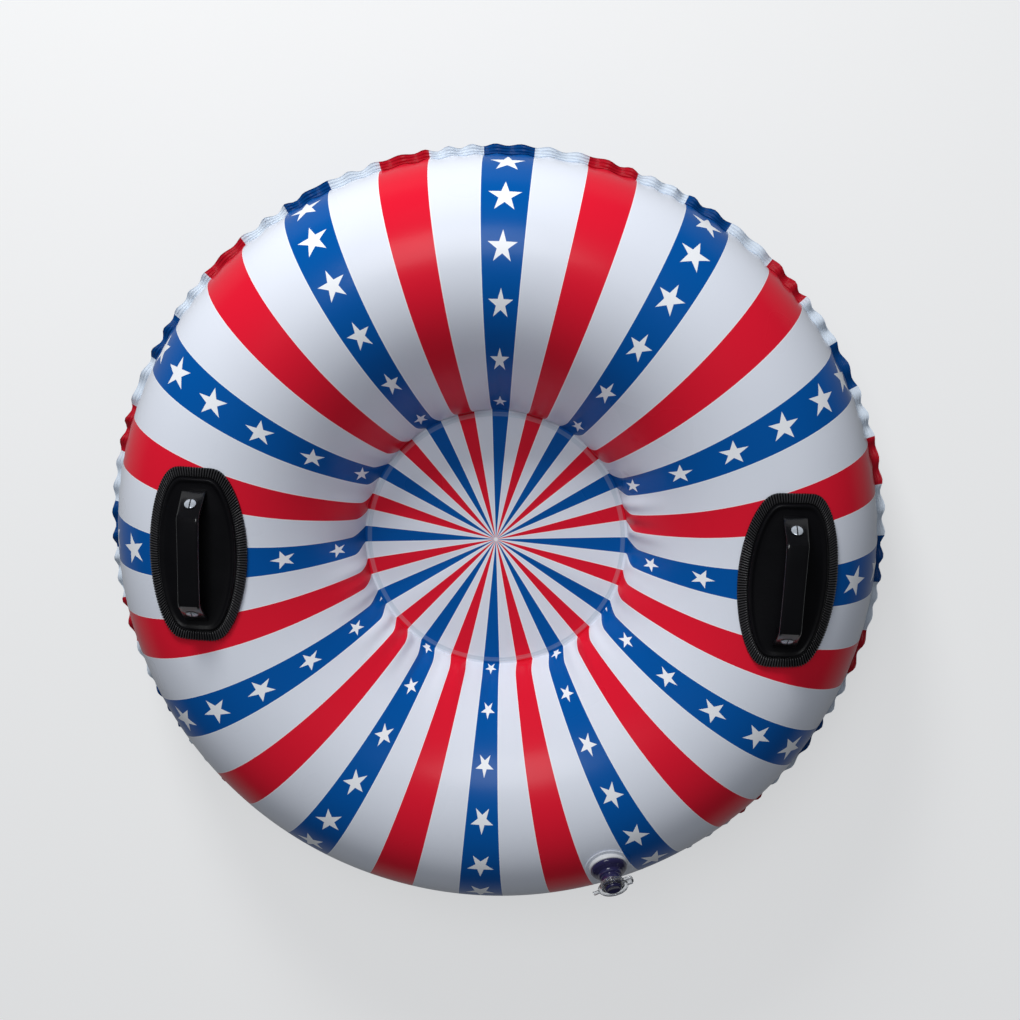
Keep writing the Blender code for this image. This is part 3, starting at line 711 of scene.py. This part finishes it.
blackFinish = {
    "patchScale": 28.0,
    "patchGain": 1.9,
    "cellScale": 900.0,
    "grainScale": 260.0,
    "bump": (0.22, 0.0004),   # strength and distance
    "roughSwing": 0.14,
    "padRough": 0.34,
    "gripRough": 0.26,
    "gripShine": 0.9,
}

mouldedFinish = {
    "flowScale": 120.0,
    "grainScale": 600.0,
    "grain": 0.3,
    "bump": (0.12, 0.0005),   # strength and distance
    "tintShare": 0.35,
    "tintGain": 0.82,
    "roughSwing": 0.10,
}

panelHeight = crestHeight + pad["lift"] + pad["floor"]
gripBase = panelHeight + grip["gap"]
gripSlope = math.atan2(grip["rise"], grip["run"])
gripHalf = grip["span"] / 2
slopeFoot = gripHalf + grip["run"]


def halfTurn(ahead):
    return Matrix.Rotation(0.0 if ahead > 0 else math.pi, 4, "Z")


def handlePlace(side):
    return halfTurn(side) @ Matrix.Translation((crestRadius, 0, 0))


def blackMaterial(name, rough, shine, ribbed=False):
    # moulded black sheet, satin with a fine leathery grain; on the pad the ribs get a lighter colour, a
    # painted highlight for their glints
    finish = blackFinish
    shader = Shader(name, Specular_IOR_Level=0.30, Coat_Roughness=0.07)
    shine = shader.attribute("ribShare").clamped() if ribbed else shine
    patch = shader.noise(finish["patchScale"], 3.0)
    colour = shader.mix(patch, pad["color"], tuple(c * finish["patchGain"] for c in pad["color"]))
    if ribbed:
        # painted highlight: the ribs are painted lighter where they stand
        colour = shader.mix(shine, colour, pad["ribPaintedHighlight"])
    grain = shader.cells(finish["cellScale"]) * 0.5 + shader.noise(finish["grainScale"], 2.0) * 0.5
    shader.bump(grain, *finish["bump"])
    rough = rough + finish["roughSwing"] * patch
    return shader.set(Base_Color=colour, Roughness=rough, Coat_Weight=shine)


def mouldedMaterial(name, colour, rough, **surface):
    # small mouldings: faint flow marks and a slightly uneven gloss
    shader = Shader(name, IOR=1.5, Coat_Roughness=0.1, **surface)
    finish = mouldedFinish
    flow = shader.noise(finish["flowScale"], 3.0)
    shader.bump(flow + shader.noise(finish["grainScale"], 1.0) * finish["grain"], *finish["bump"])
    darker = tuple(c * finish["tintGain"] for c in colour)
    tint = shader.mix(flow * finish["tintShare"], colour, darker)
    return shader.set(Base_Color=tint, Roughness=rough + finish["roughSwing"] * flow)


def padLoop(inset, count):  # evenly spaced points of the pad's barrel outline
    power, steps = pad["cornerPower"], pad["outlineSteps"]
    corner = 0.5 ** (1 / power)
    shares = [corner * i / steps for i in range(steps)]
    quarter = [((1 - share**power) ** (1 / power), share) for share in shares]
    quarter += [(corner, corner)] + [(along, across) for across, along in reversed(quarter)]
    half = quarter + [(-across, along) for across, along in reversed(quarter[:-1])]
    whole = np.array(half + [(across, -along) for across, along in reversed(half[1:-1])] + half[:1])
    taper = 1 - (1 - pad["endShare"]) * whole[:, 1] ** 2
    across = whole[:, 0] * taper * (pad["width"] / 2 - inset)
    outline = np.stack([across, whole[:, 1] * (pad["length"] / 2 - inset)], 1)
    walked = np.concatenate([[0], np.cumsum(np.linalg.norm(np.diff(outline, axis=0), axis=1))])
    places = np.arange(count) * walked[-1] / count
    return np.stack([np.interp(places, walked, outline[:, k]) for k in (0, 1)], 1)


def padSection():  # inset, height and share of the ribs, from the outer edge to the middle
    edge, start, border = pad["edge"], pad["edgeRound"], pad["border"]
    ridge, floor = pad["ridge"], pad["floor"]
    ridgeEnd = border + pad["ridgeWidth"]
    floorStart = ridgeEnd + pad["ridgeFoot"]
    flat = floorStart + pad["floorBlend"]
    section = [(0.0, 0.0, 0.0), (0.0, edge * 0.8, 0.55)]
    section += [(lerp(start, border * 0.80, k / 3), edge, 1.0) for k in range(4)]
    section += [
        (border * 0.86, edge + pad["borderSwell"] * 0.75, 0.45),
        (border * 0.92, edge + pad["borderSwell"], 0.0),
        (border, ridge * 0.80, 0.0),
        (border + pad["ridgeRise"], ridge * 0.96, 0.0),
        (border + pad["ridgeWidth"] / 2, ridge, 0.0),
        (ridgeEnd, ridge * 0.94, 0.0),
        (ridgeEnd + pad["ridgeFall"], ridge * 0.80, 0.0),
        (floorStart, floor + pad["floorRound"], 0.0),
    ]
    rows = pad["floorRows"]
    return section + [(lerp(flat, pad["width"] / 2, k / rows), floor, 0.0) for k in range(rows)]


def makePad(word, side, material):
    ribs = np.tile(np.array(pad["ribProfile"]), pad["ribs"])
    mesh = Mesh()
    rows = []
    for inset, height, ribShare in padSection():
        outline = padLoop(inset, len(ribs))
        sheet = topHeight(np.hypot(crestRadius + outline[:, 0], outline[:, 1]))
        z = sheet + pad["lift"] + height + ribs * ribShare * pad["rib"]
        teeth = (ribs[:, None] - pad["serrationMiddle"]) * ribShare * pad["serration"]
        spread = outline * (1 + teeth / pad["serrationReach"])
        rows.append(mesh.ring(np.stack([spread[:, 0], spread[:, 1], z], 1).tolist(), ribShare * ribs**2))
    rows.append(mesh.ring([(0, 0, panelHeight)]))
    mesh.joinAll(rows)
    made = mesh.build(
        f"{word}_pad_moulding", material, "tube",
        pad["sharpAngle"], "ribShare", handlePlace(side))
    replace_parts(made, f"{word}_handle_pad")


def makeBoss(word, endWord, end, side, material):
    # wedge that fills the hollow under a sloping end of the grip
    back, front = gripHalf + boss["back"], slopeFoot - boss["front"]
    low = panelHeight - pad["floor"] * boss["sunkShare"]

    def under(along):
        return gripBase + (slopeFoot - along) * math.tan(gripSlope) - boss["gap"]

    mesh = Mesh()
    rows = []
    flat, edge = boss["flatShare"], boss["edgeRound"]
    for across, pull in ((-1, edge), (-flat, 0), (flat, 0), (1, edge)):
        x = across * grip["width"] * boss["halfWidthShare"]
        topFront, topBack = under(front), under(back) - pull
        middle = (x, (front + back) / 2, (topFront + topBack) / 2)
        rows.append(mesh.ring([
            (x, front, low), (x, front, topFront), middle, (x, back, topBack), (x, back, low)]))
    mesh.joinAll(rows)
    mesh.capEnds(rows)
    mesh.build(f"{word}_{endWord}_boss", material, "tube", boss["sharpAngle"], None,
               handlePlace(side) @ halfTurn(end))


def studPlace(end, side):  # on the middle of the slope, square to it
    tilt = Vector((0, math.sin(gripSlope / 2), math.cos(gripSlope / 2)))
    low = Vector((0, slopeFoot, gripBase)) + tilt * grip["toeThickness"] * stud["footShare"]
    high = Vector((0, gripHalf, gripBase + grip["rise"])) + tilt * grip["thickness"]
    run = (low - high).normalized()
    across = Vector((1, 0, 0))
    axes = Matrix((tuple(across), tuple(run), tuple(across.cross(run)))).transposed().to_4x4()
    turn = halfTurn(end * side)
    return handlePlace(side) @ turn @ Matrix.Translation(low.lerp(high, stud["place"])) @ axes


def makeStud(word, endWord, end, side, metal, black):
    place = studPlace(end, side)
    lathe(f"{word}_{endWord}_stud_seat", stud["seat"], black, "tube", place,
          sides=stud["seatSides"], loop=False)
    radius, half, steps = stud["radius"], stud["slot"] / 2, stud["steps"]
    near, far = (half * share for share in stud["slotEdge"])
    columns = [-radius * math.cos(math.pi * k / steps) for k in range(1, steps)]
    columns = [x for x in columns if abs(x) > far] + [-near, -half, half, near]
    mesh = Mesh()
    rows = []
    for x in sorted(columns):
        reach = math.sqrt(radius**2 - x**2)
        row = []
        for k in range(steps + 1):
            y = reach * math.sin(math.pi * (k / steps - 0.5))
            swell = max(0.0, 1 - (x * x + y * y) / radius**2) ** stud["domePower"]
            dome = stud["base"] + stud["height"] * swell
            row.append((x, y, stud["slotFloor"] if abs(x) <= half else dome))
        rows.append(mesh.ring(row))
    mesh.joinAll(rows, closed=False)
    made = mesh.build(
        f"{word}_{endWord}_stud_head", metal, "tube", stud["sharpAngle"], None, place)
    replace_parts(made, f"{word}_{endWord}_stud")


def gripKeys():  # along, height, tilt, width and thickness, from one toe to the other
    rise, width, footWidth = grip["rise"], grip["width"], grip["footWidth"]
    thick, toe = grip["thickness"], grip["toeThickness"]
    toeBend, bendOut = grip["toeBend"], grip["bendOut"]
    keys = [
        (slopeFoot + grip["foot"], 0.0, 0.0, footWidth * 0.95, toe),
        (slopeFoot + grip["foot"] * 0.2, 0.0, 0.0, footWidth, toe),
        (slopeFoot, 0.0, -gripSlope / 2, footWidth, toe * 1.08),
        (slopeFoot - toeBend, toeBend * math.tan(gripSlope), -gripSlope, footWidth * 0.985, toe * 1.12),
        (lerp(slopeFoot, gripHalf, 0.5), rise * 0.5, -gripSlope,
         lerp(footWidth, width, 0.6), grip["slopeThickness"]),
        (gripHalf + bendOut, rise - bendOut * math.tan(gripSlope), -gripSlope,
         width * 1.01, grip["bendThickness"]),
        (gripHalf, rise, -gripSlope / 2, width, thick * 0.98),
        (gripHalf - grip["bendIn"], rise, 0.0, width, thick),
        (gripHalf * 0.62, rise, 0.0, width * 0.985, thick * 1.08),
        (gripHalf * 0.25, rise, 0.0, width * 0.975, thick * 1.12),
    ]
    return keys + [(-along, z, -tilt, across, up) for along, z, tilt, across, up in reversed(keys)]


def makeGrip(word, side, material):
    turns = np.arange(grip["sides"]) * 2 * math.pi / grip["sides"]
    mesh = Mesh()
    rows = []
    for along, z, tilt, width, thick in gripKeys():
        across = rounded(np.cos(turns), grip["sideRound"]) * width / 2
        up = thick / 2 + rounded(np.sin(turns), grip["faceRound"]) * thick / 2
        ring = np.stack([across, along - math.sin(tilt) * up, gripBase + z + math.cos(tilt) * up], 1)
        rows.append(mesh.ring(ring.tolist()))
    mesh.joinAll(rows)
    mesh.capEnds(rows)
    made = mesh.build(
        f"{word}_grip_moulding", material, "tube",
        grip["sharpAngle"], None, handlePlace(side))
    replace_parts(made, f"{word}_handle_grip")


# Valve, drawn upright: each profile is radius and height over the sheet

valve = {
    "angle": math.radians(-67.5),
    "arcShare": 0.7238,       # along the wall, from the seat's weld to the seam
    "hole": 0.0212,
    "holeDepth": 0.03,
    "riseReach": 0.05,        # the sheet is looked for this far above and below
    "purple": (0.026, 0.024, 0.085),
    "clear": (0.90, 0.92, 0.95),
    "white": (0.66, 0.68, 0.72),
    "weld": (
        (0.0232, 0.0007), (0.0262, 0.0007), (0.0290, 0.0007), (0.0292, 0.0011), (0.0286, 0.0015),
        (0.0276, 0.0016), (0.0268, 0.0013), (0.0258, 0.0016), (0.0248, 0.0013), (0.0232, 0.0018)),
    "collar": (
        (0.0201, 0.0007), (0.0232, 0.0007), (0.0244, 0.0014), (0.0240, 0.0026), (0.0236, 0.0036),
        (0.0229, 0.0041), (0.0206, 0.0041), (0.0201, 0.0036)),
    "collarFoot": 3,          # the collar's first points follow the sheet
    "skirt": (
        (0.0196, 0.0), (0.0197, 0.0040), (0.0224, 0.0043), (0.0226, 0.0052), (0.0219, 0.0068),
        (0.0207, 0.0081), (0.0193, 0.0091), (0.0188, 0.0092), (0.0172, 0.0103), (0.0158, 0.0112),
        (0.0153, 0.0113), (0.0143, 0.0125), (0.0138, 0.0140), (0.0128, 0.0140), (0.0128, 0.0124),
        (0.0138, 0.0108), (0.0160, 0.0092), (0.0184, 0.0076), (0.0204, 0.0060), (0.0204, 0.0052),
        (0.0186, 0.0044), (0.0186, 0.0)),
    "skirtFold": 0.3,
    "neck": (
        (0.0090, 0.0090), (0.0125, 0.0090), (0.0125, 0.0143), (0.0141, 0.0143), (0.0142, 0.0158),
        (0.0136, 0.0164), (0.0125, 0.0170), (0.0122, 0.0182), (0.0127, 0.0188), (0.0127, 0.0196),
        (0.0121, 0.0202), (0.0121, 0.0266), (0.0146, 0.0270), (0.0150, 0.0276), (0.0150, 0.0284),
        (0.0146, 0.0290), (0.0093, 0.0290), (0.0090, 0.0286)),
    "leaf": ((0, 0.0079), (0.0102, 0.0079), (0.0106, 0.0083), (0.0102, 0.0087), (0, 0.0087)),
    "plug": (
        (0, 0.0235), (0.0078, 0.0235), (0.0082, 0.0239), (0.0086, 0.0292), (0.0104, 0.0293),
        (0.0104, 0.0316), (0.0100, 0.0330), (0.0092, 0.0339), (0.0082, 0.0341), (0.0070, 0.0340),
        (0.0060, 0.0332), (0, 0.0330)),
    "flange": (
        (0.0106, 0.0296), (0.0172, 0.0293), (0.0182, 0.0294), (0.0186, 0.0300), (0.0186, 0.0310),
        (0.0182, 0.0317), (0.0172, 0.0318), (0.0164, 0.0312), (0.0106, 0.0309)),
    "tetherRing": (
        (0.0129, 0.0245), (0.0142, 0.0243), (0.0150, 0.0247), (0.0151, 0.0255), (0.0148, 0.0263),
        (0.0140, 0.0265), (0.0129, 0.0264)),
    "pullTab": ((-0.0172, 0.0304), (-0.0200, 0.0305), (-0.0232, 0.0309), (-0.0252, 0.0307)),
    "pullTabSize": (0.0086, 0.0016),
    "hingeLug": ((0.0174, 0.0305), (0.0200, 0.0306), (0.0224, 0.0305), (0.0242, 0.0303)),
    "strap": ((0.0142, 0.0252), (0.0182, 0.0246), (0.0226, 0.0247), (0.0246, 0.0268), (0.0243, 0.0290)),
    "strapSize": (0.0092, 0.0024),
    "sides": 96,
    "leafSides": 64,
    "sharpAngle": 42.0,
}

strapMesh = {
    "steps": 40,
    "sides": 16,
    "sideRound": 0.5,
    "faceRound": 0.7,
    "sharpAngle": 40.0,
}


def valveFrame():
    r, z, tilt = atArc(topSection, valve["arcShare"] * topLength)
    radial = Vector((math.cos(valve["angle"]), math.sin(valve["angle"]), 0))
    out = radial * -math.sin(tilt) + Vector((0, 0, math.cos(tilt)))
    around = Vector((0, 0, 1)).cross(radial)
    axes = Matrix((tuple(around), tuple(out.cross(around)), tuple(out))).transposed().to_4x4()
    return Matrix.Translation(radial * r + Vector((0, 0, seatTop + z))) @ axes


def sheetRise(place, across, along):  # height of the sheet beside the valve, in the valve's own frame
    low, high = -valve["riseReach"], valve["riseReach"]
    for _ in range(wallCurve["halvings"]):
        middle = (low + high) / 2
        point = place @ Vector((across, along, middle))
        if point.z > topHeight(math.hypot(point.x, point.y)):
            high = middle
        else:
            low = middle
    return (low + high) / 2


def lathe(name, profile, material, body, place, sides=None, loop=True, following=0):
    # a turned piece, whose first points follow the sheet where following says how many
    sides = sides or valve["sides"]
    turns = [2 * math.pi * i / sides for i in range(sides)]
    mesh = Mesh()
    rows = []
    for k, (r, z) in enumerate(profile):
        if r == 0:
            rows.append(mesh.ring([(0, 0, z)]))
            continue
        ring = []
        for turn in turns:
            x, y = r * math.cos(turn), r * math.sin(turn)
            ring.append((x, y, z + (sheetRise(place, x, y) if k < following else 0.0)))
        rows.append(mesh.ring(ring))
    mesh.joinAll(rows, loop)
    return mesh.build(name, material, body, valve["sharpAngle"], None, place)


def smoothLine(points, steps):  # an even curve through all the points
    line = []
    for f in np.linspace(0, len(points) - 1, steps):
        i = int(min(max(math.floor(f), 0), len(points) - 2))
        p = [points[min(max(i + k, 0), len(points) - 1)] for k in (-1, 0, 1, 2)]
        u = f - i
        line.append(0.5 * (2 * p[1] + (p[2] - p[0]) * u + (2 * p[0] - 5 * p[1] + 4 * p[2] - p[3]) * u**2
                           + (3 * p[1] - p[0] - 3 * p[2] + p[3]) * u**3))
    return np.array(line)


def strip(name, path, size, material, body, place):
    width, thick = size
    line = smoothLine(np.array(path), strapMesh["steps"])
    turns = [2 * math.pi * k / strapMesh["sides"] for k in range(strapMesh["sides"])]
    mesh = Mesh()
    rows = []
    for i, point in enumerate(line):
        ahead = line[min(i + 1, len(line) - 1)] - line[max(i - 1, 0)]
        ahead = ahead / np.linalg.norm(ahead)
        side = np.array((-ahead[1], ahead[0])) * thick / 2
        ring = []
        for turn in turns:
            across = rounded(math.cos(turn), strapMesh["sideRound"]) * width / 2
            up = rounded(math.sin(turn), strapMesh["faceRound"])
            ring.append((point[0] + side[0] * up, across, point[1] + side[1] * up))
        rows.append(mesh.ring(ring))
    mesh.joinAll(rows)
    mesh.capEnds(rows)
    return mesh.build(name, material, body, strapMesh["sharpAngle"], None, place)


def printOnDisc(disc):  # the welded disc carries on the sheet's print
    spots = np.empty(len(disc.data.vertices) * 3)
    disc.data.vertices.foreach_get("co", spots)
    reach = np.hypot(spots[0::3], spots[1::3])
    arc = np.interp(reach, topSection[:, 0], topSection[:, 3])
    stored = disc.data.attributes.new("skinArc", "FLOAT", "POINT")
    stored.data.foreach_set("value", arc.astype(np.float32))


def makeValve(printed, white, purple, clear):
    place = valveFrame()
    disc = lathe(
        "valve_weld", valve["weld"], printed, "tube", place, following=len(valve["weld"]))
    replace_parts(disc, "valve_weld_disc")
    printOnDisc(disc)
    foot = valve["collarFoot"]
    lathe("valve_collar", valve["collar"], white, "tube", place, following=foot)

    skirt = lathe("valve_skirt", valve["skirt"], purple, "tube", place)
    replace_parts(skirt, "valve_cup")
    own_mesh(skirt)

    neck = lathe("valve_neck", valve["neck"], purple, "stem", place)
    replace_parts(neck, "valve_stem")
    sides = valve["leafSides"]
    leaf = lathe("valve_leaf", valve["leaf"], clear, "flap", place, sides, loop=False)
    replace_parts(leaf, "valve_flap")

    lid = lathe("valve_lid", valve["plug"], purple, "cap", place, loop=False)
    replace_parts(lid, "valve_cap")
    lathe("valve_lid_flange", valve["flange"], clear, "cap", place)
    strip("valve_pull_tab", valve["pullTab"], valve["pullTabSize"], clear, "cap", place)
    strip("valve_hinge_lug", valve["hingeLug"], valve["strapSize"], clear, "cap", place)

    ring = lathe("valve_tether_ring", valve["tetherRing"], clear, "stem", place)
    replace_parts(ring, "valve_tether")
    strip("valve_tether_strap", valve["strap"], valve["strapSize"], clear, "stem", place)


# Studio: pale floor and sky, one low lamp that makes the shading and a high one that makes the shine

studio = {
    "keyPower": 52.0,
    "keySize": 0.60,
    "keyFrom": (-0.70, 2.36, 1.42),
    "keyColor": (1.0, 0.99, 0.97),
    "fillPower": 24.0,
    "fillSize": 1.3,
    "fillFrom": (-0.40, 1.35, 2.75),
    "fillColor": (0.97, 0.985, 1.0),
    "aim": (0, 0, 0.1),
    "sky": (0.92, 0.95, 1.0),
    "ambient": 0.15,
    "glossyShare": 0.20,      # of the ambient light, seen in reflections
    "backdrop": 0.62,
    "floor": (0.36, 0.365, 0.37),
    "floorBounce": (0.20, 0.21, 0.22),
    "floorGlow": (0.55, 0.555, 0.56),
    "floorInGloss": 0.30,
    "floorHalf": 60.0,
    "floorLevel": -0.0006,
}

camera = {
    "place": (-0.018227, -0.041051, 1.602571),  # of the seam's middle, as the camera sees it
    "tilt": (0.229, -0.023, -0.044),
    "lens": 45.88,
    "sensor": 36.0,
}


def makeFloor():
    half, level = studio["floorHalf"], studio["floorLevel"]
    mesh = bpy.data.meshes.new("floor")
    corners = [(-half, -half, level), (half, -half, level), (half, half, level), (-half, half, level)]
    mesh.from_pydata(corners, [], [(0, 1, 2, 3)])
    floor = bpy.data.objects.new("floor", mesh)
    bpy.context.scene.collection.objects.link(floor)
    shader = Shader("floor_pale", Emission_Strength=1.0, Roughness=0.85)
    straight, glossy, through = shader.rays("Camera", "Glossy", "Transmission")
    seen = straight.largest(glossy * studio["floorInGloss"]).largest(through)
    mesh.materials.append(shader.set(
        Base_Color=shader.mix(seen, studio["floorBounce"], studio["floor"]),
        Emission_Color=shader.mix(seen, (0.0, 0.0, 0.0), studio["floorGlow"])))


def makeLamp(word, glossy):
    data = bpy.data.lights.new(word, "AREA")
    data.size, data.energy, data.color = (studio[word + part] for part in ("Size", "Power", "Color"))
    place = Vector(studio[word + "From"])
    lamp = bpy.data.objects.new(word, data)
    bpy.context.scene.collection.objects.link(lamp)
    turn = (Vector(studio["aim"]) - place).to_track_quat("-Z", "Y").to_matrix().to_4x4()
    lamp.matrix_world = Matrix.Translation(place) @ turn
    lamp.visible_glossy = glossy


def makeSky():  # dim in reflections, as in a dark room with soft lamps
    world = bpy.data.worlds.new("world")
    world.use_nodes = True
    bpy.context.scene.world = world
    nodes = Nodes(world.node_tree)
    background = world.node_tree.nodes["Background"]
    straight, glossy = nodes.rays("Camera", "Glossy")
    ambient = studio["ambient"] * (1.0 - glossy * (1.0 - studio["glossyShare"]))
    nodes.feed(background.inputs["Color"], studio["sky"])
    nodes.feed(background.inputs["Strength"], ambient + straight * (studio["backdrop"] - ambient))


def makeCamera():
    place = Vector(camera["place"])
    rx, ry, rz = camera["tilt"]
    turn = Matrix.Rotation(rz, 3, "Z") @ Matrix.Rotation(ry, 3, "Y") @ Matrix.Rotation(rx, 3, "X")
    back = turn.transposed()
    eye = Vector((0, 0, seamHeight)) - back @ Vector((place.x, place.y, -place.z))
    data = bpy.data.cameras.new("camera")
    data.lens, data.sensor_width = camera["lens"], camera["sensor"]
    made = bpy.data.objects.new("camera", data)
    made.matrix_world = Matrix.Translation(eye) @ back.to_4x4()
    bpy.context.scene.collection.objects.link(made)
    bpy.context.scene.camera = made


print("materials")
printed = printedMaterial()
underBlue = underMaterial()
padBlack = blackMaterial("pad_black", blackFinish["padRough"], 1.0, ribbed=True)
gripBlack = blackMaterial("grip_black", blackFinish["gripRough"], blackFinish["gripShine"])
studGrey = mouldedMaterial("stud_grey", stud["color"], 0.20, Coat_Weight=0.2, Metallic=stud["metal"])
purple = mouldedMaterial(
    "valve_purple_soft", valve["purple"], 0.10, Transmission_Weight=0.12, Coat_Weight=0.5)
clear = mouldedMaterial(
    "valve_clear_soft", valve["clear"], 0.06, Transmission_Weight=0.92, Coat_Weight=0.3)
white = mouldedMaterial("valve_weld_white", valve["white"], 0.26, Coat_Weight=0.15)

print("sheets")
makeSheet("top_sheet", topSection, 1, seatTop, printed, "top_skin")
underSeat = seatTop - tube["sheetGap"]
makeSheet("under_sheet", bottomSection, -1, underSeat, underBlue, "bottom_skin")

print("handles")
for word, side in (("right", 1), ("left", -1)):
    makePad(word, side, padBlack)
    makeGrip(word, side, gripBlack)
    for endWord, end in (("upper", 1), ("lower", -1)):
        makeBoss(word, endWord, end, side, padBlack)
        makeStud(word, endWord, end, side, studGrey, gripBlack)

print("valve")
makeValve(printed, white, purple, clear)

print("studio")
makeFloor()
makeLamp("key", False)
makeLamp("fill", True)
makeSky()
makeCamera()
bpy.context.scene.view_settings.view_transform = "Standard"
